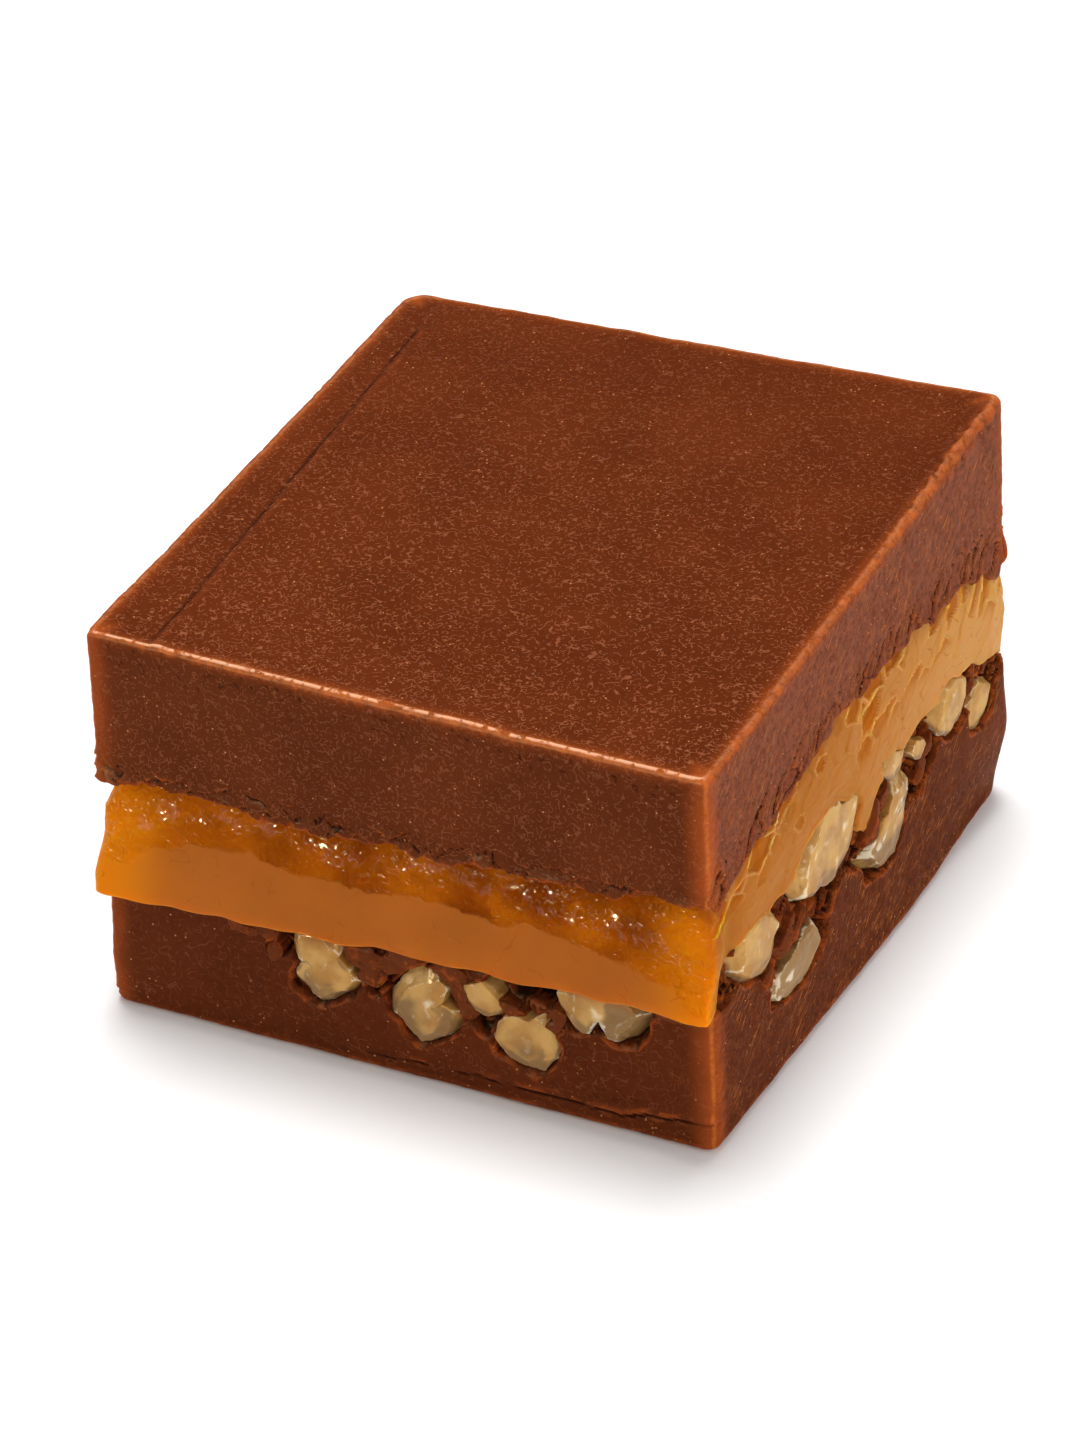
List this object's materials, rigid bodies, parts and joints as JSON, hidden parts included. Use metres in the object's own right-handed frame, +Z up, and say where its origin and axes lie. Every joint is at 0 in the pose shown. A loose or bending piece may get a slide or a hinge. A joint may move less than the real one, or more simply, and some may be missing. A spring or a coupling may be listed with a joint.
{
  "type": "chocolate fudge",
  "caption": "Square-cut slice of layered chocolate walnut fudge with a soft caramel band between its slabs.",
  "frame": {"origin": "middle of the square's outline, at the level of the surface it rests on", "axes": "+Z up; the slice's front cut face looks along -Y and its right cut face along +X"},
  "size_m": [0.0531, 0.0544, 0.0352],
  "materials": {
    "fudge": "dense chocolate fudge, satin, grainy",
    "fudge_top": "smoother chocolate fudge, waxy satin",
    "caramel": "soft caramel, glossy at the front, smeared by the knife elsewhere",
    "walnut": "cut walnut, waxy"
  },
  "bodies": {
    "root": {"lower_fudge": "fudge", "caramel": "caramel", "upper_fudge": "fudge_top", "walnut_front_1": "walnut", "walnut_front_2": "walnut", "walnut_front_3": "walnut", "walnut_front_4": "walnut", "walnut_front_5": "walnut", "walnut_right_1": "walnut", "walnut_right_2": "walnut", "walnut_right_3": "walnut", "walnut_right_4": "walnut", "walnut_right_5": "walnut", "walnut_right_6": "walnut", "walnut_right_7": "walnut", "walnut_right_8": "walnut", "walnut_back_1": "walnut", "walnut_back_2": "walnut", "walnut_back_3": "walnut", "walnut_back_4": "walnut", "walnut_left_1": "walnut", "walnut_left_2": "walnut", "walnut_left_3": "walnut", "walnut_left_4": "walnut"}
  },
  "joints": []
}
